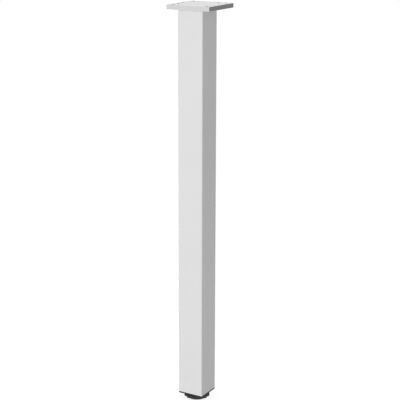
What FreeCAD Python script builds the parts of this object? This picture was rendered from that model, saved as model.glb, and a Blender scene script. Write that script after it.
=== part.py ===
import FreeCAD, Part
import Sketcher
import math
import os

# A square metal table leg: a welded tube and plate on a screw-out levelling foot.
# Millimetres, +Z up. The origin is on the floor, under the tube's axis.

doc = FreeCAD.newDocument("TableLeg")

# Driving sizes

driving_sizes = {
    # square tube
    "tube_width": "50",
    "tube_wall": "1.5",
    "tube_bend": "0.5",
    "tube_length": "712",
    # mounting plate, set off the tube's axis along both sides
    "plate_side": "85",
    "plate_thick": "8",
    "plate_corner": "1",
    "plate_edge": "0.4",
    "plate_shift": "3.5",
    "hole_inset": "9",
    "screw_hole_dia": "6",
    "screw_sink_dia": "10",
    "screw_sink_angle": "90",
    # weld bead under the plate
    "weld_leg": "2",
    "weld_toe": "0.3",
    # end cap
    "cap_rim": "3",
    "cap_edge": "0.4",
    "plug_depth": "24",
    "plug_wall": "2",
    "plug_corner": "1",
    "fin_reach": "1",
    "fin_thick": "1.2",
    "fin_count": "4",
    "fin_fit": "0.1",
    "boss_wall": "3",
    "rib_thick": "2",
    "rib_drop": "3",
    # threaded bush
    "bush_length": "20",
    "bush_barrel_dia": "14",
    "bush_flange_dia": "22",
    "bush_flange_thick": "2",
    "bush_fit": "0.05",
    "bush_lead": "0.6",
    # adjuster stud
    "thread_dia": "10",
    "thread_fit": "0.05",
    "thread_lead": "1",
    "shank_length": "39",
    "head_flats": "17",
    "head_thick": "3",
    "head_fit": "0.05",
    # grip wheel
    "wheel_dia": "48",
    "wheel_thick": "6",
    "wheel_room": "2",
    "wheel_edge": "1",
    "flute_count": "12",
    "flute_dia": "9",
    "flute_depth": "1.8",
    "flute_round": "1.2",
    # foot pad, and the snap ring that holds it in the wheel
    "pad_dia": "36",
    "pad_thick": "2.7",
    "pad_gap": "0.3",
    "pad_edge": "0.5",
    "ring_dia": "26",
    "ring_thick": "1.4",
    "ring_height": "2.6",
    "ring_room": "0.3",
    "barb_reach": "0.6",
    "barb_height": "0.8",
}

sheet = doc.addObject("Spreadsheet::Sheet", "Sizes")
for row, (alias, text) in enumerate(driving_sizes.items(), start=1):
    sheet.set("A%d" % row, alias)
    sheet.set("B%d" % row, text)
    sheet.setAlias("B%d" % row, alias)
doc.recompute()

# Sizes worked out from the sheet, as expressions

tube_corner = "(Sizes.tube_bend + Sizes.tube_wall)"
tube_inside = "(Sizes.tube_width - 2 * Sizes.tube_wall)"
hole_reach = "(Sizes.plate_side / 2 - Sizes.hole_inset)"
fin_side = "(%s - 2 * Sizes.fin_fit)" % tube_inside
fin_pitch = "(Sizes.plug_depth / (Sizes.fin_count + 1))"
plug_side = "(%s - 2 * Sizes.fin_reach)" % fin_side
plug_inside = "(%s - 2 * Sizes.plug_wall)" % plug_side
bush_bore = "(Sizes.thread_dia / 2 + Sizes.thread_fit)"
barrel_hole_dia = "(Sizes.bush_barrel_dia + 2 * Sizes.bush_fit)"
flange_hole_dia = "(Sizes.bush_flange_dia + 2 * Sizes.bush_fit)"
boss_dia = "(%s + 2 * Sizes.boss_wall)" % barrel_hole_dia
boss_height = "(Sizes.bush_length - Sizes.cap_rim)"
rib_height = "(%s - Sizes.rib_drop)" % boss_height
flute_centre = "(Sizes.wheel_dia / 2 - Sizes.flute_depth + Sizes.flute_dia / 2)"
ring_inner = "(Sizes.ring_dia / 2 - Sizes.ring_thick / 2)"
ring_outer = "(Sizes.ring_dia / 2 + Sizes.ring_thick / 2)"
ring_rise = "(Sizes.ring_height - Sizes.pad_gap)"

# Heights above the floor

wheel_level = "(Sizes.pad_thick + Sizes.pad_gap)"
cap_level = "(%s + Sizes.wheel_thick + Sizes.wheel_room)" % wheel_level
tube_level = "(%s + Sizes.cap_rim)" % cap_level
plate_level = "(%s + Sizes.tube_length)" % tube_level

up = FreeCAD.Vector(0, 0, 1)
middle = FreeCAD.Vector(0, 0, 0)
quarter_turn = math.pi / 2
flat_limit = 1e-6

# Drawing helpers


def value(expression):
    """The number that an expression on the sheet gives now."""
    return float(sheet.evalExpression(expression))


def new_body(label, level="0", sideways="0"):
    """An empty body at its own height, shifted by the same amount along X and Y."""
    body = doc.addObject("PartDesign::Body", label)
    body.Label = label
    body.setExpression("Placement.Base.x", sideways)
    body.setExpression("Placement.Base.y", sideways)
    body.setExpression("Placement.Base.z", level)
    return body


def origin_part(body, role):
    """The plane or axis of the body's own origin that has this role."""
    return [part for part in body.Origin.OriginFeatures if part.Role == role][0]


def new_sketch(body, name, level="0", plane="XY_Plane"):
    """A sketch on one of the body's planes, moved by level along the plane's normal."""
    sketch = body.newObject("Sketcher::SketchObject", name)
    sketch.AttachmentSupport = [(origin_part(body, plane), "")]
    sketch.MapMode = "FlatFace"
    sketch.setExpression("AttachmentOffset.Base.z", level)
    return sketch


def tie(sketch, *constraint):
    """Adds a constraint that has no size."""
    sketch.addConstraint(Sketcher.Constraint(*constraint))


def measure(sketch, expression, *constraint):
    """Adds a constraint whose size follows an expression on the sheet."""
    index = sketch.addConstraint(Sketcher.Constraint(*constraint, value(expression)))
    sketch.setExpression("Constraints[%d]" % index, expression)


def pin(sketch, line, x, y):
    """Holds a line's first point at x and y from the sketch's origin."""
    for place, kind, axis in ((x, "DistanceX", -2), (y, "DistanceY", -1)):
        if place == "0":
            tie(sketch, "PointOnObject", line, 1, axis)
        else:
            measure(sketch, place, kind, -1, 1, line, 1)


def draw_circle(sketch, diameter, reach="0"):
    """A circle on the sketch's X axis, at reach from the origin."""
    centre = FreeCAD.Vector(value(reach), 0, 0)
    circle = sketch.addGeometry(Part.Circle(centre, up, value(diameter) / 2))
    measure(sketch, diameter, "Diameter", circle)
    if reach == "0":
        tie(sketch, "Coincident", circle, 3, -1, 1)
    else:
        tie(sketch, "PointOnObject", circle, 3, -1)
        measure(sketch, reach, "DistanceX", -1, 1, circle, 3)


def draw_loop(sketch, corners):
    """A closed loop of straight lines, joined at their ends."""
    lines = []
    for corner, after in zip(corners, corners[1:] + corners[:1]):
        lines.append(sketch.addGeometry(Part.LineSegment(corner, after)))
    for line, after in zip(lines, lines[1:] + lines[:1]):
        tie(sketch, "Coincident", line, 2, after, 1)
    return lines


def draw_outline(sketch, points):
    """A closed outline of straight lines through points given as expressions."""
    lines = draw_loop(sketch, [FreeCAD.Vector(value(x), value(y), 0) for x, y in points])
    for line, (x, y) in zip(lines, points):
        pin(sketch, line, x, y)


def draw_square(sketch, side, radius):
    """A square with rounded corners, centred on the sketch's origin."""
    corner_radius = value(radius)
    flat = value(side) / 2 - corner_radius
    signs = [(-1, -1), (1, -1), (1, 1), (-1, 1)]
    centres = [FreeCAD.Vector(x * flat, y * flat, 0) for x, y in signs]
    lines = []
    arcs = []
    for quarter in range(4):
        centre = centres[quarter]
        after = centres[(quarter + 1) % 4]
        outward = FreeCAD.Rotation(up, 90 * quarter - 90).multVec(FreeCAD.Vector(corner_radius, 0, 0))
        circle = Part.Circle(after, up, corner_radius)
        first = quarter_turn * (quarter - 1)
        lines.append(sketch.addGeometry(Part.LineSegment(centre + outward, after + outward)))
        arcs.append(sketch.addGeometry(Part.ArcOfCircle(circle, first, first + quarter_turn)))
    bottom, right, top, left = lines
    for line, arc, after in zip(lines, arcs, lines[1:] + lines[:1]):
        tie(sketch, "Tangent", line, 2, arc, 1)
        tie(sketch, "Tangent", arc, 2, after, 1)
    for arc in arcs[1:]:
        tie(sketch, "Equal", arcs[0], arc)
    tie(sketch, "Horizontal", top)
    tie(sketch, "Vertical", right)
    tie(sketch, "Symmetric", bottom, 1, bottom, 2, -2)
    tie(sketch, "Symmetric", left, 1, left, 2, -1)
    measure(sketch, radius, "Radius", arcs[0])
    measure(sketch, side, "DistanceX", left, 1, right, 1)
    measure(sketch, side, "DistanceY", bottom, 1, top, 1)


def draw_hexagon(sketch, across_flats):
    """A regular hexagon centred on the sketch's origin, with a corner on the X axis."""
    corner_radius = "(%s / sqrt(3))" % across_flats
    reach = FreeCAD.Vector(value(corner_radius), 0, 0)
    lines = draw_loop(sketch, [FreeCAD.Rotation(up, 60 * sixth).multVec(reach) for sixth in range(6)])
    guide = sketch.addGeometry(Part.Circle(middle, up, reach.x), True)
    tie(sketch, "Coincident", guide, 3, -1, 1)
    measure(sketch, corner_radius, "Radius", guide)
    for line in lines:
        tie(sketch, "PointOnObject", line, 1, guide)
    for line in lines[1:]:
        tie(sketch, "Equal", lines[0], line)
    tie(sketch, "PointOnObject", lines[0], 1, -1)


def draw_bar(sketch, length, thick):
    """A rectangle centred on the sketch's origin, long along X."""
    half_length = value(length) / 2
    half_thick = value(thick) / 2
    bottom, right, top, left = draw_loop(sketch, [
        FreeCAD.Vector(-half_length, -half_thick, 0),
        FreeCAD.Vector(half_length, -half_thick, 0),
        FreeCAD.Vector(half_length, half_thick, 0),
        FreeCAD.Vector(-half_length, half_thick, 0),
    ])
    for line in (bottom, top):
        tie(sketch, "Horizontal", line)
    for line in (right, left):
        tie(sketch, "Vertical", line)
    tie(sketch, "Symmetric", bottom, 1, top, 1, -1, 1)
    measure(sketch, length, "DistanceX", bottom, 1, bottom, 2)
    measure(sketch, thick, "DistanceY", right, 1, right, 2)


# Feature helpers


def pad(body, name, sketch, length, downward=False):
    """Raises a sketch into the body's solid."""
    feature = body.newObject("PartDesign::Pad", name)
    feature.Profile = sketch
    feature.Reversed = downward
    feature.setExpression("Length", length)
    doc.recompute()
    return feature


def revolve(body, name, sketch):
    """Turns a sketch on the XZ plane about the body's Z axis."""
    feature = body.newObject("PartDesign::Revolution", name)
    feature.Profile = sketch
    feature.ReferenceAxis = (sketch, ["V_Axis"])
    feature.Angle = 360
    doc.recompute()
    return feature


def confirm_cut(feature, volume_before):
    """Stops the build if a cut took nothing away."""
    if feature.Shape.Volume >= volume_before:
        raise RuntimeError("%s cuts nothing" % feature.Name)


def pocket(body, name, sketch, length=None, upward=False):
    """Cuts a sketch out of the body, to a depth or right through."""
    volume_before = body.Shape.Volume
    feature = body.newObject("PartDesign::Pocket", name)
    feature.Profile = sketch
    feature.Reversed = upward
    if length is None:
        feature.Type = "ThroughAll"
    else:
        feature.setExpression("Length", length)
    doc.recompute()
    confirm_cut(feature, volume_before)
    return feature


def groove(body, name, sketch):
    """Cuts a sketch on the XZ plane out of the body, turned about the Z axis."""
    volume_before = body.Shape.Volume
    feature = body.newObject("PartDesign::Groove", name)
    feature.Profile = sketch
    feature.ReferenceAxis = (sketch, ["V_Axis"])
    feature.Angle = 360
    doc.recompute()
    confirm_cut(feature, volume_before)
    return feature


def repeat_round(body, name, original, count, angle=360):
    """Repeats a feature about the body's Z axis."""
    feature = body.newObject("PartDesign::PolarPattern", name)
    feature.Originals = [original]
    feature.Axis = (origin_part(body, "Z_Axis"), [""])
    feature.Angle = angle
    feature.setExpression("Occurrences", count)
    body.Tip = feature
    doc.recompute()
    return feature


def edge_names(shape, wanted):
    """Names of a shape's edges that pass the test."""
    return ["Edge%d" % place for place, edge in enumerate(shape.Edges, start=1) if wanted(edge)]


def is_level(edge):
    """True for an edge that lies in a level plane."""
    return edge.BoundBox.ZLength < flat_limit


def is_upright(edge):
    """True for a straight edge along Z."""
    return max(edge.BoundBox.XLength, edge.BoundBox.YLength) < flat_limit


def level_at(height):
    """A test for level edges at one height."""
    return lambda edge: is_level(edge) and abs(edge.BoundBox.ZMin - height) < flat_limit


def ease(body, kind, name, base, wanted, size):
    """Rounds or chamfers the base's edges that pass the test."""
    feature = body.newObject("PartDesign::" + kind, name)
    feature.Base = (base, edge_names(base.Shape, wanted))
    feature.setExpression("Radius" if kind == "Fillet" else "Size", size)
    doc.recompute()
    return feature


# Sub-parts


def make_leg_tube():
    """Square hollow section, cut square at both ends."""
    body = new_body("leg_tube", tube_level)
    section = new_sketch(body, "tube_section")
    draw_square(section, "Sizes.tube_width", tube_corner)
    draw_square(section, tube_inside, "Sizes.tube_bend")
    pad(body, "tube_run", section, "Sizes.tube_length")
    return body


def make_mounting_plate():
    """Flat plate with eased edges, and a screw hole near each corner sunk from below."""
    body = new_body("mounting_plate", plate_level, "Sizes.plate_shift")
    outline = new_sketch(body, "plate_outline")
    draw_square(outline, "Sizes.plate_side", "Sizes.plate_corner")
    slab = pad(body, "plate_slab", outline, "Sizes.plate_thick")
    eased = ease(body, "Chamfer", "plate_edges", slab, is_level, "Sizes.plate_edge")
    spot = new_sketch(body, "hole_spot")
    centre = FreeCAD.Vector(value(hole_reach), value(hole_reach), 0)
    circle = spot.addGeometry(Part.Circle(centre, up, value("Sizes.screw_hole_dia") / 2))
    measure(spot, "Sizes.screw_hole_dia", "Diameter", circle)
    measure(spot, hole_reach, "DistanceX", -1, 1, circle, 3)
    measure(spot, hole_reach, "DistanceY", -1, 1, circle, 3)
    doc.recompute()
    hole = body.newObject("PartDesign::Hole", "screw_hole")
    hole.Profile = spot
    hole.Reversed = True
    hole.DepthType = "ThroughAll"
    hole.HoleCutType = "Countersink"
    hole.HoleCutCustomValues = True
    hole.setExpression("Diameter", "Sizes.screw_hole_dia")
    hole.setExpression("HoleCutDiameter", "Sizes.screw_sink_dia")
    hole.setExpression("HoleCutCountersinkAngle", "Sizes.screw_sink_angle")
    doc.recompute()
    confirm_cut(hole, eased.Shape.Volume)
    repeat_round(body, "screw_holes", hole, "4")
    return body


def make_weld_seam():
    """Fillet bead round the tube, against the plate's underside."""
    body = new_body("weld_seam", plate_level)
    toe = new_sketch(body, "bead_toe", "-Sizes.weld_leg")
    draw_square(toe, "(Sizes.tube_width + 2 * Sizes.weld_toe)", "(%s + Sizes.weld_toe)" % tube_corner)
    root = new_sketch(body, "bead_root")
    draw_square(root, "(Sizes.tube_width + 2 * Sizes.weld_leg)", "(%s + Sizes.weld_leg)" % tube_corner)
    doc.recompute()
    bead = body.newObject("PartDesign::AdditiveLoft", "bead")
    bead.Profile = toe
    bead.Sections = [root]
    bead.Ruled = True
    doc.recompute()
    inside = new_sketch(body, "bead_inside")
    draw_square(inside, "Sizes.tube_width", tube_corner)
    pocket(body, "bead_bore", inside)
    return body


def make_end_cap():
    """Moulded insert: a rim flush with the tube, a finned hollow plug, and a ribbed boss."""
    body = new_body("end_cap", tube_level)
    rim = new_sketch(body, "rim_outline")
    draw_square(rim, "Sizes.tube_width", tube_corner)
    rim_pad = pad(body, "rim", rim, "Sizes.cap_rim", downward=True)
    lowest = level_at(value(cap_level) - value(tube_level))
    ease(body, "Chamfer", "rim_edge", rim_pad, lowest, "Sizes.cap_edge")
    plug = new_sketch(body, "plug_outline")
    draw_square(plug, plug_side, "Sizes.plug_corner")
    pad(body, "plug", plug, "Sizes.plug_depth")
    fin_outline = new_sketch(body, "fin_outline", fin_pitch)
    draw_square(fin_outline, fin_side, "Sizes.tube_bend")
    fin = pad(body, "fin", fin_outline, "Sizes.fin_thick")
    fins = body.newObject("PartDesign::LinearPattern", "fins")
    fins.Originals = [fin]
    fins.Direction = (origin_part(body, "Z_Axis"), [""])
    fins.setExpression("Length", "%s * (Sizes.fin_count - 1)" % fin_pitch)
    fins.setExpression("Occurrences", "Sizes.fin_count")
    body.Tip = fins
    doc.recompute()
    hollow = new_sketch(body, "hollow_outline", "Sizes.plug_depth")
    draw_square(hollow, plug_inside, "Sizes.plug_corner")
    pocket(body, "hollow", hollow, "Sizes.plug_depth")
    boss = new_sketch(body, "boss_outline")
    draw_circle(boss, boss_dia)
    pad(body, "boss", boss, boss_height)
    rib_outline = new_sketch(body, "rib_outline")
    draw_bar(rib_outline, "(%s + Sizes.plug_wall)" % plug_inside, "Sizes.rib_thick")
    rib = pad(body, "rib", rib_outline, rib_height)
    repeat_round(body, "ribs", rib, "2", angle=90)
    barrel_hole = new_sketch(body, "barrel_hole_outline", "-Sizes.cap_rim")
    draw_circle(barrel_hole, barrel_hole_dia)
    pocket(body, "barrel_hole", barrel_hole, upward=True)
    flange_seat = new_sketch(body, "flange_seat_outline", "-Sizes.cap_rim")
    draw_circle(flange_seat, flange_hole_dia)
    pocket(body, "flange_seat", flange_seat, "Sizes.bush_flange_thick", upward=True)
    return body


def make_threaded_bush():
    """Flanged steel bush, pressed into the cap from below; its bore is drawn without the thread."""
    body = new_body("threaded_bush", cap_level)
    lead_bore = "(%s + Sizes.bush_lead)" % bush_bore
    barrel = "(Sizes.bush_barrel_dia / 2)"
    flange = "(Sizes.bush_flange_dia / 2)"
    section = new_sketch(body, "bush_section", plane="XZ_Plane")
    draw_outline(section, [
        (lead_bore, "0"),
        (flange, "0"),
        (flange, "Sizes.bush_flange_thick"),
        (barrel, "Sizes.bush_flange_thick"),
        (barrel, "Sizes.bush_length"),
        (lead_bore, "Sizes.bush_length"),
        (bush_bore, "(Sizes.bush_length - Sizes.bush_lead)"),
        (bush_bore, "Sizes.bush_lead"),
    ])
    revolve(body, "bush", section)
    return body


def make_adjuster_stud():
    """Low-head hexagon bolt; its shank is drawn at the thread's outside diameter."""
    body = new_body("adjuster_stud", wheel_level)
    head = new_sketch(body, "head_outline")
    draw_hexagon(head, "Sizes.head_flats")
    pad(body, "head", head, "Sizes.head_thick")
    shank_outline = new_sketch(body, "shank_outline", "Sizes.head_thick")
    draw_circle(shank_outline, "Sizes.thread_dia")
    shank = pad(body, "shank", shank_outline, "Sizes.shank_length")
    tip = level_at(value("Sizes.head_thick + Sizes.shank_length"))
    ease(body, "Chamfer", "shank_tip", shank, tip, "Sizes.thread_lead")
    return body


def make_grip_wheel():
    """Fluted hand wheel with a hexagon seat for the stud's head and a groove for the pad."""
    body = new_body("grip_wheel", wheel_level)
    rim = "(Sizes.wheel_dia / 2)"
    rim_in = "(%s - Sizes.wheel_edge)" % rim
    rim_top = "(Sizes.wheel_thick - Sizes.wheel_edge)"
    disc_outline = new_sketch(body, "disc_outline")
    draw_circle(disc_outline, "Sizes.wheel_dia")
    pad(body, "disc", disc_outline, "Sizes.wheel_thick")
    flute_outline = new_sketch(body, "flute_outline")
    draw_circle(flute_outline, "Sizes.flute_dia", flute_centre)
    flute = pocket(body, "flute", flute_outline, upward=True)
    flutes = repeat_round(body, "flutes", flute, "Sizes.flute_count")
    ease(body, "Fillet", "lobes", flutes, is_upright, "Sizes.flute_round")
    for name, face_level, edge_level in (
        ("top_edge", "Sizes.wheel_thick", rim_top),
        ("low_edge", "0", "Sizes.wheel_edge"),
    ):
        edge_section = new_sketch(body, name + "_section", plane="XZ_Plane")
        draw_outline(edge_section, [(rim_in, face_level), (rim, face_level), (rim, edge_level)])
        groove(body, name, edge_section)
    head_seat = new_sketch(body, "head_seat_outline")
    draw_hexagon(head_seat, "(Sizes.head_flats + 2 * Sizes.head_fit)")
    pocket(body, "head_seat", head_seat, "Sizes.head_thick", upward=True)
    shank_hole = new_sketch(body, "shank_hole_outline")
    draw_circle(shank_hole, "(Sizes.thread_dia + 2 * Sizes.head_fit)")
    pocket(body, "shank_hole", shank_hole, upward=True)
    mouth = "(%s + Sizes.ring_room)" % ring_outer
    undercut = "(%s + Sizes.barb_reach)" % mouth
    inner = "(%s - Sizes.ring_room)" % ring_inner
    lip = "(%s - Sizes.barb_height - Sizes.ring_room)" % ring_rise
    roof = "(%s + Sizes.ring_room)" % ring_rise
    snap_section = new_sketch(body, "snap_section", plane="XZ_Plane")
    draw_outline(snap_section, [
        (inner, "0"),
        (mouth, "0"),
        (mouth, lip),
        (undercut, lip),
        (undercut, roof),
        (inner, roof),
    ])
    groove(body, "snap_groove", snap_section)
    return body


def make_foot_pad():
    """Flat glide with a barbed ring that snaps into the wheel."""
    body = new_body("foot_pad")
    rim = "(Sizes.pad_dia / 2)"
    rim_in = "(%s - Sizes.pad_edge)" % rim
    ring_top = "(Sizes.pad_thick + Sizes.ring_height)"
    barb_level = "(%s - Sizes.barb_height)" % ring_top
    section = new_sketch(body, "pad_section", plane="XZ_Plane")
    draw_outline(section, [
        ("0", "0"),
        (rim_in, "0"),
        (rim, "Sizes.pad_edge"),
        (rim, "(Sizes.pad_thick - Sizes.pad_edge)"),
        (rim_in, "Sizes.pad_thick"),
        (ring_outer, "Sizes.pad_thick"),
        (ring_outer, barb_level),
        ("(%s + Sizes.barb_reach)" % ring_outer, barb_level),
        (ring_outer, ring_top),
        (ring_inner, ring_top),
        (ring_inner, "Sizes.pad_thick"),
        ("0", "Sizes.pad_thick"),
    ])
    revolve(body, "pad", section)
    return body


bodies = [
    make_leg_tube(),
    make_mounting_plate(),
    make_weld_seam(),
    make_end_cap(),
    make_threaded_bush(),
    make_adjuster_stud(),
    make_grip_wheel(),
    make_foot_pad(),
]
doc.recompute()

# Checks and files

for item in doc.Objects:
    if "Invalid" in item.State or "Error" in item.State:
        raise RuntimeError("%s did not compute" % item.Name)
for body in bodies:
    if body.Shape.isNull() or not body.Shape.isValid() or len(body.Shape.Solids) != 1:
        raise RuntimeError("%s is not one sound solid" % body.Label)

os.makedirs("parts", exist_ok=True)
for body in bodies:
    body.Shape.exportStep("parts/%s.step" % body.Label)
    box = body.Shape.BoundBox
    print("%-15s %9.1f mm3, z %.2f to %.2f" % (body.Label, body.Shape.Volume, box.ZMin, box.ZMax))
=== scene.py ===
import math

import bmesh
import bpy
from mathutils import Matrix, Vector, noise


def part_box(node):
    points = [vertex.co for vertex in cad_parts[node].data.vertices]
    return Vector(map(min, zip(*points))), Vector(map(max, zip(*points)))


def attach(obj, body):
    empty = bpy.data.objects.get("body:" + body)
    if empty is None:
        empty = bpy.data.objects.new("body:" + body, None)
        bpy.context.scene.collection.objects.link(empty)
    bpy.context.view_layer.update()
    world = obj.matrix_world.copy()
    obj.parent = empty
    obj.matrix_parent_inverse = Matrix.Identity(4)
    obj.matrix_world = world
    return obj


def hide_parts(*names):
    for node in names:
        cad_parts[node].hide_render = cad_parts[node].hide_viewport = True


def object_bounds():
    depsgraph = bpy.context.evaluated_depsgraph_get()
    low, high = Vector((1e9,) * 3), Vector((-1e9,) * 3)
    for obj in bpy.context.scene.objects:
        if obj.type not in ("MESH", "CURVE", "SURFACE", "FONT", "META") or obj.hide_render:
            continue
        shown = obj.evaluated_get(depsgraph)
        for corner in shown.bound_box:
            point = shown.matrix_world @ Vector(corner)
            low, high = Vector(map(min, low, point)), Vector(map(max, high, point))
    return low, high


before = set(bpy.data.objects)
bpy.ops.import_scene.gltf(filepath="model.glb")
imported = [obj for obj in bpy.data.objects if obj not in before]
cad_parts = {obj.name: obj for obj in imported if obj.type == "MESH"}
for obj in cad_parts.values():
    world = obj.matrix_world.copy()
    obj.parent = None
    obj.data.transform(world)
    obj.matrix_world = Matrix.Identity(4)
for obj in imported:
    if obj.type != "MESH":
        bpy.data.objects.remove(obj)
cadLow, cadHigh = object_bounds()
print("frame loaded:", len(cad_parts), "nodes")

mm = 0.001
upAxis = Vector((0, 0, 1))
mergeGap = 0.002 * mm
fullTurn = 2 * math.pi


# shader helpers

def addNode(tree, kind, inputs=None, **settings):
    node = tree.nodes.new(kind)
    for name, setting in settings.items():
        setattr(node, name, setting)
    for socket, entry in (inputs or {}).items():
        if isinstance(entry, bpy.types.NodeSocket):
            tree.links.new(entry, node.inputs[socket])
        else:
            node.inputs[socket].default_value = entry
    return node


def newMaterial(name):
    material = bpy.data.materials.new(name)
    material.use_nodes = True
    material.node_tree.nodes.clear()
    return material, material.node_tree


def closeMaterial(tree, shader):
    addNode(tree, "ShaderNodeOutputMaterial", {"Surface": shader.outputs[0]})


def newGroup(name, inputs, outputs):
    group = bpy.data.node_groups.new(name, "ShaderNodeTree")
    for socket, start in inputs.items():
        made = group.interface.new_socket(socket, in_out="INPUT", socket_type="NodeSocketFloat")
        made.default_value = start
    for socket in outputs:
        group.interface.new_socket(socket, in_out="OUTPUT", socket_type="NodeSocketFloat")
    entry = group.nodes.new("NodeGroupInput")
    leave = group.nodes.new("NodeGroupOutput")
    return group, entry, leave


def math2(tree, operation, first, second):
    return addNode(tree, "ShaderNodeMath", {0: first, 1: second}, operation=operation).outputs[0]


def blendValues(tree, factor, low, high):
    return addNode(tree, "ShaderNodeMapRange", {"Value": factor, "To Min": low, "To Max": high}).outputs[0]


def blendColours(tree, factor, low, high):
    mix = addNode(tree, "ShaderNodeMix", {"Factor": factor}, data_type="RGBA")
    mix.inputs["A"].default_value = (*low, 1)
    mix.inputs["B"].default_value = (*high, 1)
    return mix.outputs["Result"]


# fine grain and soft clouding, sized in metres
def makeSurfaceGrain():
    group, entry, leave = newGroup(
        "surfaceGrain", {"Grain Size": 0.001, "Cloud Size": 0.03}, ["Grain", "Cloud"])
    place = addNode(group, "ShaderNodeTexCoord").outputs["Object"]
    for wanted, detail, socket in (("Grain Size", 2.0, "Grain"), ("Cloud Size", 3.0, "Cloud")):
        scale = math2(group, "DIVIDE", 1.0, entry.outputs[wanted])
        speckle = addNode(group, "ShaderNodeTexNoise", {"Vector": place, "Scale": scale, "Detail": detail})
        group.links.new(speckle.outputs["Fac"], leave.inputs[socket])
    return group


# fine straight scratches: noise drawn out along a few directions, with only its peaks kept
scratchPattern = {"turns": (14, 71, -38), "peak": 0.9, "spread": 0.4}


def makeScratches():
    pattern = scratchPattern
    group, entry, leave = newGroup("scratches", {"Length": 0.03, "Width": 0.0002, "Amount": 0.3}, ["Mask"])
    place = addNode(group, "ShaderNodeTexCoord").outputs["Object"]
    along = math2(group, "DIVIDE", 1.0, entry.outputs["Length"])
    across = math2(group, "DIVIDE", 1.0, entry.outputs["Width"])
    stretch = addNode(group, "ShaderNodeCombineXYZ", {"X": along, "Y": across, "Z": across}).outputs[0]
    spread = math2(group, "MULTIPLY", entry.outputs["Amount"], pattern["spread"])
    peakFrom = math2(group, "SUBTRACT", pattern["peak"], spread)
    mask = 0.0
    for turn in pattern["turns"]:
        turned = addNode(group, "ShaderNodeVectorRotate", {
            "Vector": place, "Angle": math.radians(turn)}, rotation_type="Z_AXIS").outputs[0]
        drawn = addNode(group, "ShaderNodeVectorMath", {0: turned, 1: stretch}, operation="MULTIPLY")
        strokes = addNode(group, "ShaderNodeTexNoise", {
            "Vector": drawn.outputs[0], "Scale": 1.0, "Detail": 1.0})
        peaks = addNode(group, "ShaderNodeMapRange", {
            "Value": strokes.outputs["Fac"], "From Min": peakFrom, "From Max": pattern["peak"]})
        mask = math2(group, "MAXIMUM", mask, peaks.outputs[0])
    group.links.new(mask, leave.inputs["Mask"])
    return group


surfaceGrain = makeSurfaceGrain()
scratches = makeScratches()


def addGroup(tree, group, **inputs):
    node = tree.nodes.new("ShaderNodeGroup")
    node.node_tree = group
    for socket, entry in inputs.items():
        node.inputs[socket.replace("_", " ")].default_value = entry
    return node.outputs


def layColour(tree, mask, under, colour):
    mix = addNode(tree, "ShaderNodeMix", {"Factor": mask, "A": under}, data_type="RGBA")
    mix.inputs["B"].default_value = (*colour, 1)
    return mix.outputs["Result"]


def addScratches(tree, look, clean):
    marks = addGroup(
        tree, scratches, Length=look["scratch"], Width=look["scratchWidth"], Amount=look["scratched"])
    return layColour(tree, marks["Mask"], clean, look["scuffed"])


# materials

tubeCoatLook = {
    "pale": (0.765, 0.765, 0.768), "deep": (0.735, 0.735, 0.738), "rough": (0.40, 0.50),
    "peel": 1.1 * mm, "cloud": 70 * mm, "bump": 0.6, "depth": 0.12 * mm, "ior": 1.45,
}


def makeTubeCoat():
    look = tubeCoatLook
    material, tree = newMaterial("tubeCoat")
    grain = addGroup(tree, surfaceGrain, Grain_Size=look["peel"], Cloud_Size=look["cloud"])
    bump = addNode(tree, "ShaderNodeBump", {
        "Strength": look["bump"], "Distance": look["depth"], "Height": grain["Grain"]})
    shader = addNode(tree, "ShaderNodeBsdfPrincipled", {
        "Base Color": blendColours(tree, grain["Cloud"], look["deep"], look["pale"]),
        "Roughness": blendValues(tree, grain["Grain"], *look["rough"]),
        "Normal": bump.outputs[0], "IOR": look["ior"]})
    closeMaterial(tree, shader)
    return material


plateSteelLook = {
    "pale": (0.74, 0.74, 0.74), "deep": (0.64, 0.64, 0.645), "scuffed": (0.80, 0.80, 0.80),
    # the near-black colour below is painted shade for the inside of the holes
    "paintedBoreShade": (0.03, 0.03, 0.03), "grazing": (0.935, 0.935, 0.935),
    "rough": (0.16, 0.30), "lineAcross": 0.35 * mm, "lineAlong": 40 * mm, "cloud": 30 * mm,
    "scratch": 45 * mm, "scratchWidth": 0.5 * mm, "scratched": 0.46, "bump": 0.12, "depth": 0.01 * mm,
}


def makePlateSteel():
    look = plateSteelLook
    material, tree = newMaterial("plateSteel")
    place = addNode(tree, "ShaderNodeTexCoord").outputs["Object"]
    stretch = addNode(tree, "ShaderNodeMapping", {
        "Vector": place, "Scale": (1 / look["lineAlong"], 1 / look["lineAcross"], 1 / look["lineAcross"])})
    lines = addNode(tree, "ShaderNodeTexNoise", {
        "Vector": stretch.outputs[0], "Scale": 1.0, "Detail": 4.0}).outputs["Fac"]
    grain = addGroup(tree, surfaceGrain, Grain_Size=look["lineAcross"], Cloud_Size=look["cloud"])
    tone = math2(tree, "MULTIPLY", lines, grain["Cloud"])
    brushed = addScratches(tree, look, blendColours(tree, tone, look["deep"], look["pale"]))
    # painted shade: the 'bore' face layer marks the hole walls, which are darkened as if they lay in shade
    bore = addNode(tree, "ShaderNodeAttribute", attribute_name="bore").outputs["Fac"]
    bump = addNode(tree, "ShaderNodeBump", {
        "Strength": look["bump"], "Distance": look["depth"], "Height": lines})
    shader = addNode(tree, "ShaderNodeBsdfPrincipled", {
        "Base Color": layColour(tree, bore, brushed, look["paintedBoreShade"]), "Metallic": 1.0,
        "Specular Tint": (*look["grazing"], 1),
        "Roughness": blendValues(tree, lines, *look["rough"]), "Normal": bump.outputs[0]})
    closeMaterial(tree, shader)
    return material


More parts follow.
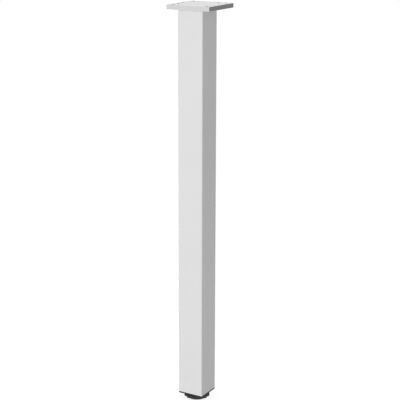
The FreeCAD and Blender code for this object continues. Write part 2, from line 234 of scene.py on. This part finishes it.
blackPlasticLook = {
    "pale": (0.026, 0.026, 0.027), "deep": (0.014, 0.014, 0.015), "rough": (0.46, 0.62),
    "grain": 0.40 * mm, "cloud": 9 * mm, "bump": 0.55, "depth": 0.10 * mm, "ior": 1.42,
    "scratch": 12 * mm, "scratchWidth": 0.25 * mm, "scratched": 0.40, "scuffed": (0.045, 0.045, 0.046),
}
padPlasticLook = {
    "pale": (0.050, 0.050, 0.051), "deep": (0.032, 0.032, 0.033), "rough": (0.50, 0.70),
    "grain": 0.7 * mm, "cloud": 6 * mm, "bump": 0.40, "depth": 0.08 * mm, "ior": 1.42,
    "scratch": 18 * mm, "scratchWidth": 0.35 * mm, "scratched": 0.55, "scuffed": (0.12, 0.12, 0.12),
}


def makePlastic(name, look):
    material, tree = newMaterial(name)
    grain = addGroup(tree, surfaceGrain, Grain_Size=look["grain"], Cloud_Size=look["cloud"])
    bump = addNode(tree, "ShaderNodeBump", {
        "Strength": look["bump"], "Distance": look["depth"], "Height": grain["Grain"]})
    moulded = blendColours(tree, grain["Cloud"], look["deep"], look["pale"])
    shader = addNode(tree, "ShaderNodeBsdfPrincipled", {
        "Base Color": addScratches(tree, look, moulded),
        "Roughness": blendValues(tree, grain["Grain"], *look["rough"]),
        "Normal": bump.outputs[0], "IOR": look["ior"]})
    closeMaterial(tree, shader)
    return material


zincSteelLook = {
    "pale": (0.70, 0.72, 0.74), "deep": (0.56, 0.57, 0.585), "rough": (0.22, 0.40),
    "grain": 0.3 * mm, "cloud": 4 * mm, "bump": 0.10, "depth": 0.01 * mm,
}


def makeZincSteel():
    look = zincSteelLook
    material, tree = newMaterial("zincSteel")
    grain = addGroup(tree, surfaceGrain, Grain_Size=look["grain"], Cloud_Size=look["cloud"])
    bump = addNode(tree, "ShaderNodeBump", {
        "Strength": look["bump"], "Distance": look["depth"], "Height": grain["Grain"]})
    shader = addNode(tree, "ShaderNodeBsdfPrincipled", {
        "Base Color": blendColours(tree, grain["Cloud"], look["deep"], look["pale"]), "Metallic": 1.0,
        "Roughness": blendValues(tree, grain["Cloud"], *look["rough"]), "Normal": bump.outputs[0]})
    closeMaterial(tree, shader)
    return material


tubeCoat = makeTubeCoat()
plateSteel = makePlateSteel()
blackPlastic = makePlastic("blackPlastic", blackPlasticLook)
padPlastic = makePlastic("padPlastic", padPlasticLook)
zincSteel = makeZincSteel()
print("materials made")


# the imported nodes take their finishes

nodeFinishes = {
    "leg_tube": tubeCoat, "end_cap": blackPlastic, "threaded_bush": zincSteel, "foot_pad": padPlastic,
}
for nodeName, finish in nodeFinishes.items():
    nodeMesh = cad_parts[nodeName].data
    nodeMesh.materials.clear()
    nodeMesh.materials.append(finish)
print("packed nodes finished")


# mesh helpers

sharpAngle = math.radians(32)
squareOn = 0.9999
orderStep = 0.0001 * mm


# some operators order what they make by memory address, so each mesh is put in order by place
def settleOrder(bm):
    spots = (
        (bm.verts, lambda vert: vert.co),
        (bm.edges, lambda edge: edge.verts[0].co + edge.verts[1].co),
        (bm.faces, lambda face: face.calc_center_median()),
    )
    for parts, spot in spots:
        ranked = sorted(parts, key=lambda part: [round(along / orderStep) for along in spot(part)])
        for rank, part in enumerate(ranked):
            part.index = rank
        parts.sort()


def newPiece(name, bm, finish, body, replaced):
    bmesh.ops.remove_doubles(bm, verts=bm.verts, dist=mergeGap)
    bmesh.ops.recalc_face_normals(bm, faces=bm.faces)
    settleOrder(bm)
    mesh = bpy.data.meshes.new(name)
    bm.to_mesh(mesh)
    bm.free()
    mesh.shade_smooth()
    mesh.set_sharp_from_angle(angle=sharpAngle)
    for face in mesh.polygons:
        face.use_smooth = max(map(abs, face.normal)) < squareOn        # square to an axis: stays flat
    mesh.materials.append(finish)
    piece = bpy.data.objects.new(name, mesh)
    bpy.context.scene.collection.objects.link(piece)
    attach(piece, body)
    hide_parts(replaced)
    print(name, "made:", len(mesh.polygons), "faces")


def swing(bm, geom, centre, angle, steps, lift=0.0):
    made = bmesh.ops.spin(
        bm, geom=geom, cent=centre, axis=upAxis, dvec=(0, 0, lift), angle=angle, steps=steps)
    return made["geom_last"]


def growRing(bm, edges, level, reachAt):
    made = bmesh.ops.extrude_edge_only(bm, edges=edges)["geom"]
    ring = {item for item in made if isinstance(item, bmesh.types.BMVert)}
    for vert in ring:
        turn = math.atan2(vert.co.y, vert.co.x)
        reach = reachAt(turn)
        vert.co = (reach * math.cos(turn), reach * math.sin(turn), level)
    return [item for item in made if isinstance(item, bmesh.types.BMEdge) and ring.issuperset(item.verts)]


def hexReach(flats):
    return lambda turn: flats / 2 / math.cos((turn % (fullTurn / 6)) - fullTurn / 12)


# screw plate: rings for its edge and its holes, filled in above and below
screwPlate = {
    "corner": 1 * mm, "edge": 0.4 * mm, "edgeSteps": 4, "cornerSteps": 5,
    "hole": 6 * mm, "sunk": 10 * mm, "lip": 0.05 * mm, "holeSteps": 48, "inset": 9 * mm,
    # further holes, measured from the low corner
    "plainHoles": ((8.2 * mm, 26.5 * mm), (6.5 * mm, 42.5 * mm), (59 * mm, 76.5 * mm)),
}


def liftRing(bm, edges, centre, share, rise):
    made = bmesh.ops.extrude_edge_only(bm, edges=edges)["geom"]
    ring = [item for item in made if isinstance(item, bmesh.types.BMVert)]
    bmesh.ops.scale(bm, vec=(share, share, 1), space=Matrix.Translation(-centre), verts=ring)
    bmesh.ops.translate(bm, verts=ring, vec=(0, 0, rise))
    ringSet = set(ring)
    return [item for item in made if isinstance(item, bmesh.types.BMEdge) and ringSet.issuperset(item.verts)]


def raiseWall(bm, edges, centre, profile):
    for (reach, level), (nextReach, nextLevel) in zip(profile, profile[1:]):
        edges = liftRing(bm, edges, centre, nextReach / reach, nextLevel - level)
    return edges


def makeScrewPlate():
    sizes = screwPlate
    low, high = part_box("mounting_plate")
    centre = (low + high) / 2
    half = high.x - centre.x
    edge = sizes["edge"]
    turns = [step / sizes["edgeSteps"] * fullTurn / 4 for step in range(sizes["edgeSteps"] + 1)]
    lowEdge = [(half - edge * (1 - math.sin(turn)), low.z + edge * (1 - math.cos(turn))) for turn in turns]
    topEdge = [(reach, low.z + high.z - level) for reach, level in reversed(lowEdge)]
    bore, sink, lip = sizes["hole"] / 2, sizes["sunk"] / 2, sizes["lip"]
    sunkWall = [(sink, low.z), (bore, low.z + sink - bore), (bore, high.z - lip), (bore + lip, high.z)]
    plainWall = [(bore + lip, low.z), (bore, low.z + lip)] + sunkWall[2:]
    near, far = sizes["inset"], 2 * half - sizes["inset"]
    holes = [(along, across, sunkWall) for along in (near, far) for across in (near, far)]
    holes += [(along, across, plainWall) for along, across in sizes["plainHoles"]]
    bm = bmesh.new()
    # a face layer that weights the painted shade on the hole walls
    boreShadeLayer = bm.faces.layers.float.new("bore")
    corners = bmesh.ops.create_grid(bm, x_segments=1, y_segments=1, size=lowEdge[0][0])["verts"]
    bmesh.ops.bevel(
        bm, geom=corners, offset=sizes["corner"], segments=sizes["cornerSteps"], profile=0.5,
        affect="VERTICES", material=-1)
    bmesh.ops.delete(bm, geom=bm.faces[:], context="FACES_ONLY")
    bmesh.ops.translate(bm, verts=bm.verts, vec=(centre.x, centre.y, low.z))
    lowRims = bm.edges[:]
    topRims = raiseWall(bm, lowRims, centre, lowEdge + topEdge)
    for along, across, wall in holes:
        place = Vector((low.x + along, low.y + across, low.z))
        ring = bmesh.ops.create_circle(bm, segments=sizes["holeSteps"], radius=wall[0][0])["verts"]
        bmesh.ops.translate(bm, verts=ring, vec=place)
        rim = list(dict.fromkeys(link for vert in ring for link in vert.link_edges))
        before = set(bm.faces)
        topRims += raiseWall(bm, rim, place, wall)
        bm.normal_update()
        for face in set(bm.faces) - before:
            face[boreShadeLayer] = 1 - abs(face.normal.z)        # painted shade: the bore walls take it fully, the sunk cone less
        lowRims += rim
    for rims in (lowRims, topRims):
        bmesh.ops.triangle_fill(bm, edges=rims, use_beauty=True, normal=upAxis)
    newPiece("screwPlate", bm, plateSteel, "leg", "mounting_plate")


# weld bead: a strip with crescent ripples, wrapped round the tube under the plate
weldBead = {
    "bulge": 0.30 * mm, "ripple": 2.0 * mm, "rise": 0.36 * mm, "crescent": 1.4 * mm, "wander": 0.25 * mm,
    "columns": 1200, "faceRows": 10, "corner": 2 * mm,
    "wanderRun": 16,        # ripples to one unit of the noise circle's radius
}


def makeWeldBead():
    sizes = weldBead
    low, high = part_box("weld_seam")
    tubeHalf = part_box("leg_tube")[1].x
    leg = high.x - tubeHalf
    flat = tubeHalf - sizes["corner"]
    bend = (sizes["corner"] + leg / 2) * fullTurn / 4
    sideRun = 2 * flat + bend
    ripples = round(4 * sideRun / sizes["ripple"])
    rows = sizes["faceRows"] + 2            # two more close the bead along the plate and the tube
    slant = math.sqrt(0.5)
    bm = bmesh.new()
    bmesh.ops.create_grid(bm, x_segments=sizes["columns"], y_segments=rows, size=0.5)
    for vert in bm.verts:
        along = (vert.co.x + 0.5) * 4 * sideRun
        row = round((vert.co.y + 0.5) * rows)
        share = row / sizes["faceRows"]
        out, drop = 0.0, 0.0            # the back corner, between tube and plate
        if share <= 1:
            crown = 4 * share * (1 - share)
            lap = (along - sizes["crescent"] * crown) / (4 * sideRun)
            phase = lap * ripples % 1
            around = Vector((math.cos(lap * fullTurn), math.sin(lap * fullTurn), 0))
            wander = noise.noise(around * ripples / sizes["wanderRun"]) * sizes["wander"]
            swell = crown * (sizes["bulge"] + wander + sizes["rise"] * 4 * phase * (1 - phase))
            out = leg * share + swell * slant
            drop = leg * (1 - share) + swell * slant
        elif row == rows:
            drop = leg
        side, reach = divmod(along, sideRun)
        turn = max(0.0, (reach - 2 * flat) / bend) * fullTurn / 4
        corner = Vector((min(reach, 2 * flat) - flat, -flat, 0))
        spoke = Vector((math.sin(turn), -math.cos(turn), 0)) * (sizes["corner"] + out)
        vert.co = Matrix.Rotation(side * fullTurn / 4, 3, "Z") @ (corner + spoke)
        vert.co.z = high.z - drop
    newPiece("weldBead", bm, tubeCoat, "leg", "weld_seam")


# stud: a rolled thread wound by spin, on a low hexagon head
stud = {
    "thread": 10 * mm, "pitch": 1.5 * mm, "depth": 0.85 * mm, "lead": 1 * mm, "steps": 48,
    "flats": 17 * mm, "head": 3 * mm, "headEdge": 0.4 * mm, "headEdgeSteps": 3, "sunk": 0.3 * mm,
    "runIn": 2, "spareTurns": 3,        # turns that are cut off again at both ends
    "flank": ((0.0, 0.0), (0.16, 0.0), (0.46, 1.0), (0.70, 1.0), (1.0, 0.0)),    # shares of pitch and depth
}


def makeStud():
    sizes = stud
    low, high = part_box("adjuster_stud")
    shoulder = low.z + sizes["head"]
    crest = sizes["thread"] / 2
    bm = bmesh.new()
    flank = []
    for along, rise in sizes["flank"]:
        reach = crest - sizes["depth"] * (1 - rise)
        flank.append(bm.verts.new((reach, 0, shoulder + sizes["pitch"] * (along - sizes["runIn"]))))
    for first, second in zip(flank, flank[1:]):
        bm.edges.new((first, second))
    turns = math.ceil((high.z - shoulder) / sizes["pitch"]) + sizes["spareTurns"]
    steps = turns * sizes["steps"]
    lift = sizes["pitch"] / sizes["steps"]
    swing(bm, bm.verts[:] + bm.edges[:], (0, 0, 0), turns * fullTurn, steps, lift)
    bmesh.ops.remove_doubles(bm, verts=bm.verts, dist=mergeGap)
    for level, side in ((high.z, 1), (shoulder - sizes["sunk"], -1)):
        bmesh.ops.bisect_plane(
            bm, geom=bm.verts[:] + bm.edges[:] + bm.faces[:], plane_co=(0, 0, level), plane_no=(0, 0, side),
            clear_outer=True)
    for vert in bm.verts:
        limit = crest - max(0.0, vert.co.z - (high.z - sizes["lead"]))
        reach = vert.co.xy.length
        if reach > limit:
            vert.co.xy *= limit / reach
    ends = bmesh.ops.holes_fill(bm, edges=[edge for edge in bm.edges if edge.is_boundary])["faces"]
    bmesh.ops.poke(bm, faces=ends)
    corner = sizes["flats"] / math.sqrt(3)
    head = bmesh.ops.create_circle(bm, cap_ends=True, segments=6, radius=corner)["verts"]
    bmesh.ops.rotate(bm, verts=head, matrix=Matrix.Rotation(fullTurn / 4, 3, "Z"))
    bmesh.ops.translate(bm, verts=head, vec=(0, 0, low.z))
    raised = bmesh.ops.extrude_face_region(bm, geom=head[0].link_faces[:])["geom"]
    shoulderVerts = [item for item in raised if isinstance(item, bmesh.types.BMVert)]
    bmesh.ops.translate(bm, verts=shoulderVerts, vec=(0, 0, sizes["head"]))
    rim = [item for item in raised if isinstance(item, bmesh.types.BMEdge)]
    bmesh.ops.bevel(
        bm, geom=rim, offset=sizes["headEdge"], segments=sizes["headEdgeSteps"], profile=0.5,
        affect="EDGES", material=-1)
    newPiece("threadedStud", bm, zincSteel, "adjuster", "adjuster_stud")


# grip wheel: one flute drawn with spins, mirrored, repeated round, then raised
gripWheel = {
    "dia": 48 * mm, "flutes": 12, "fluteRadius": 4.5 * mm, "fluteDepth": 1.8 * mm, "lobeRound": 1.2 * mm,
    "edge": 0.8 * mm, "edgeSteps": 4, "fluteSteps": 8, "roundSteps": 6, "lobeSteps": 2,
    "seatFlats": 17.1 * mm, "seat": 3 * mm, "bore": 10.1 * mm,
    "snapIn": 12 * mm, "snapMouth": 14 * mm, "snapBack": 14.6 * mm, "snapLip": 1.2 * mm, "snapRoof": 2.6 * mm,
}


def drawFlutes(bm, sizes):
    rim = sizes["dia"] / 2
    fluteX = rim - sizes["fluteDepth"] + sizes["fluteRadius"]
    lobeReach = rim - sizes["lobeRound"]
    lobeGap = sizes["fluteRadius"] + sizes["lobeRound"]
    lobeTurn = math.acos((lobeReach ** 2 + fluteX ** 2 - lobeGap ** 2) / (2 * lobeReach * fluteX))
    lobe = Vector((lobeReach * math.cos(lobeTurn), lobeReach * math.sin(lobeTurn), 0))
    fluteTurn = math.atan2(lobe.y, fluteX - lobe.x)
    tip = [bm.verts.new((rim - sizes["fluteDepth"], 0, 0))]
    tip = swing(bm, tip, (fluteX, 0, 0), -fluteTurn, sizes["fluteSteps"])
    tip = swing(bm, tip, lobe, fluteTurn + lobeTurn, sizes["roundSteps"])
    swing(bm, tip, (0, 0, 0), fullTurn / sizes["flutes"] / 2 - lobeTurn, sizes["lobeSteps"])
    bmesh.ops.mirror(
        bm, geom=bm.verts[:] + bm.edges[:], matrix=Matrix.Identity(4), merge_dist=mergeGap, axis="Y")
    copies = sizes["flutes"] - 1
    bmesh.ops.spin(
        bm, geom=bm.verts[:] + bm.edges[:], cent=(0, 0, 0), axis=upAxis,
        angle=fullTurn * copies / sizes["flutes"], steps=copies, use_duplicate=True)
    bmesh.ops.remove_doubles(bm, verts=bm.verts, dist=mergeGap)


def makeGripWheel():
    sizes = gripWheel
    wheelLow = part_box("adjuster_stud")[0].z
    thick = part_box("grip_wheel")[1].z - wheelLow
    bm = bmesh.new()
    drawFlutes(bm, sizes)
    bmesh.ops.translate(bm, verts=bm.verts, vec=(0, 0, wheelLow))
    lowRim = bm.edges[:]
    made = bmesh.ops.extrude_edge_only(bm, edges=lowRim)["geom"]
    topVerts = {item for item in made if isinstance(item, bmesh.types.BMVert)}
    bmesh.ops.translate(bm, verts=list(topVerts), vec=(0, 0, thick))
    topRim = [edge for edge in bm.edges if topVerts.issuperset(edge.verts)]
    ring = lowRim
    for reach, rise in (
        ("snapMouth", 0.0), ("snapMouth", sizes["snapLip"]), ("snapBack", sizes["snapLip"]),
        ("snapBack", sizes["snapRoof"]), ("snapIn", sizes["snapRoof"]), ("snapIn", 0.0),
    ):
        ring = growRing(bm, ring, wheelLow + rise, lambda turn: sizes[reach])
    for rise in (0.0, sizes["seat"]):
        ring = growRing(bm, ring, wheelLow + rise, hexReach(sizes["seatFlats"]))
    for rise in (sizes["seat"], thick):
        ring = growRing(bm, ring, wheelLow + rise, lambda turn: sizes["bore"] / 2)
    bmesh.ops.bridge_loops(bm, edges=ring + topRim)
    bmesh.ops.recalc_face_normals(bm, faces=bm.faces)        # the bevel needs faces that agree
    bmesh.ops.bevel(
        bm, geom=lowRim + topRim, offset=sizes["edge"], segments=sizes["edgeSteps"], profile=0.5,
        affect="EDGES", material=-1)
    newPiece("gripWheel", bm, blackPlastic, "adjuster", "grip_wheel")


makeScrewPlate()
makeWeldBead()
makeStud()
makeGripWheel()


# stage, light and camera

# shade and glow make the white that the camera sees, bounce is what the floor throws back at the leg
floorLook = {
    "radius": 3.0, "steps": 96, "fadeFrom": 0.7, "fadeTo": 2.2, "gap": 0.1 * mm,
    "shade": (0.32, 0.32, 0.32), "glow": 0.835, "bounce": (0.72, 0.72, 0.72),
}
cameraView = {
    "place": (1.0492, -1.7545, 0.9321), "down": 15.036, "turn": 30.737, "roll": 0.11,
    "lens": 105.54, "sensor": 36.0,
}
ambientLight = {"strength": 0.517, "backdrop": 1.0}
keyLight = {"from": (-0.05, -0.97, 0.0), "strength": 1.55, "spread": 32.0}
sideLight = {"from": (-0.90, 0.44, 0.0), "strength": 0.8, "spread": 30.0}        # tells the far faces apart
darkCard = {
    "place": (0.60, 0.95, 0.62), "aim": 0.70, "size": 2.0, "fadeFrom": 0.35, "fadeTo": 0.95,
    "tone": (0.265, 0.265, 0.265),
}


def fadeAway(tree, centre, look):
    place = addNode(tree, "ShaderNodeTexCoord").outputs["Object"]
    reach = addNode(tree, "ShaderNodeVectorMath", {0: place, 1: centre}, operation="DISTANCE")
    fade = addNode(tree, "ShaderNodeMapRange", {
        "Value": reach.outputs["Value"], "From Min": look["fadeFrom"], "From Max": look["fadeTo"],
    }, interpolation_type="SMOOTHSTEP")
    return fade.outputs[0]


def makeFloor():
    look = floorLook
    bm = bmesh.new()
    bmesh.ops.create_circle(bm, cap_ends=True, segments=look["steps"], radius=look["radius"])
    bmesh.ops.translate(bm, verts=bm.verts, vec=(0, 0, cadLow.z - look["gap"]))
    mesh = bpy.data.meshes.new("floor")
    bm.to_mesh(mesh)
    bm.free()
    floor = bpy.data.objects.new("floor", mesh)
    bpy.context.scene.collection.objects.link(floor)
    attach(floor, "glide")        # the floor stays under the foot as it is screwed in or out
    floor.visible_shadow = False        # the low key light reaches the foot
    material, tree = newMaterial("floorPaint")
    fade = fadeAway(tree, (0, 0, 0), look)
    below = addNode(tree, "ShaderNodeNewGeometry").outputs["Backfacing"]
    clear = math2(tree, "MAXIMUM", fade, below)
    shade = addNode(tree, "ShaderNodeBsdfDiffuse", {"Color": (*look["shade"], 1)})
    glow = addNode(tree, "ShaderNodeEmission", {"Strength": look["glow"]})
    white = addNode(tree, "ShaderNodeAddShader", {0: shade.outputs[0], 1: glow.outputs[0]})
    bounce = addNode(tree, "ShaderNodeBsdfDiffuse", {"Color": (*look["bounce"], 1)})
    bounced = addNode(tree, "ShaderNodeLightPath").outputs["Is Diffuse Ray"]
    paint = addNode(tree, "ShaderNodeMixShader", {0: bounced, 1: white.outputs[0], 2: bounce.outputs[0]})
    gone = addNode(tree, "ShaderNodeBsdfTransparent")
    shader = addNode(tree, "ShaderNodeMixShader", {0: clear, 1: paint.outputs[0], 2: gone.outputs[0]})
    closeMaterial(tree, shader)
    mesh.materials.append(material)


# a dark card with a soft border, which only shows in the plate's polished edge
def makeDarkCard():
    look = darkCard
    towards = Vector((0, 0, look["aim"])) - Vector(look["place"])
    bm = bmesh.new()
    bmesh.ops.create_grid(bm, x_segments=1, y_segments=1, size=look["size"] / 2)
    bmesh.ops.rotate(bm, verts=bm.verts, matrix=towards.to_track_quat("Z", "Y").to_matrix())
    bmesh.ops.translate(bm, verts=bm.verts, vec=look["place"])
    mesh = bpy.data.meshes.new("darkCard")
    bm.to_mesh(mesh)
    bm.free()
    card = bpy.data.objects.new("darkCard", mesh)
    bpy.context.scene.collection.objects.link(card)
    card.visible_camera = False
    card.visible_diffuse = False
    card.visible_shadow = False
    material, tree = newMaterial("darkCard")
    fade = fadeAway(tree, look["place"], look)
    paint = addNode(tree, "ShaderNodeBsdfDiffuse", {"Color": (*look["tone"], 1)})
    gone = addNode(tree, "ShaderNodeBsdfTransparent")
    shader = addNode(tree, "ShaderNodeMixShader", {0: fade, 1: paint.outputs[0], 2: gone.outputs[0]})
    closeMaterial(tree, shader)
    mesh.materials.append(material)


def makeBackdrop():
    world = bpy.data.worlds.new("backdrop")
    bpy.context.scene.world = world
    world.use_nodes = True
    tree = world.node_tree
    tree.nodes.clear()
    rays = addNode(tree, "ShaderNodeLightPath").outputs
    seen = math2(tree, "MAXIMUM", rays["Is Camera Ray"], rays["Is Glossy Ray"])
    seen = math2(tree, "MAXIMUM", seen, rays["Is Transmission Ray"])
    strength = blendValues(tree, seen, ambientLight["strength"], ambientLight["backdrop"])
    light = addNode(tree, "ShaderNodeBackground", {"Color": (1, 1, 1, 1), "Strength": strength})
    addNode(tree, "ShaderNodeOutputWorld", {"Surface": light.outputs[0]})


def makeSun(name, look):
    lamp = bpy.data.lights.new(name, "SUN")
    lamp.energy = look["strength"]
    lamp.angle = math.radians(look["spread"])
    holder = bpy.data.objects.new(name, lamp)
    holder.rotation_mode = "QUATERNION"
    holder.rotation_quaternion = Vector(look["from"]).to_track_quat("Z", "Y")
    holder.visible_glossy = False        # the steel mirrors the studio, not the lamp
    bpy.context.scene.collection.objects.link(holder)


def makeCamera():
    data = bpy.data.cameras.new("camera")
    data.lens = cameraView["lens"]
    data.sensor_width = cameraView["sensor"]
    camera = bpy.data.objects.new("camera", data)
    camera.location = cameraView["place"]
    tilts = ((cameraView["turn"], "Z"), (90 - cameraView["down"], "X"), (cameraView["roll"], "Z"))
    turn, down, roll = [Matrix.Rotation(math.radians(angle), 3, axis) for angle, axis in tilts]
    camera.rotation_euler = (turn @ down @ roll).to_euler()
    bpy.context.scene.collection.objects.link(camera)
    bpy.context.scene.camera = camera


makeFloor()
makeDarkCard()
makeBackdrop()
makeSun("keyLight", keyLight)
makeSun("sideLight", sideLight)
makeCamera()
bpy.context.scene.view_settings.view_transform = "Standard"
print("stage, light and camera made")

bpy.context.view_layer.update()
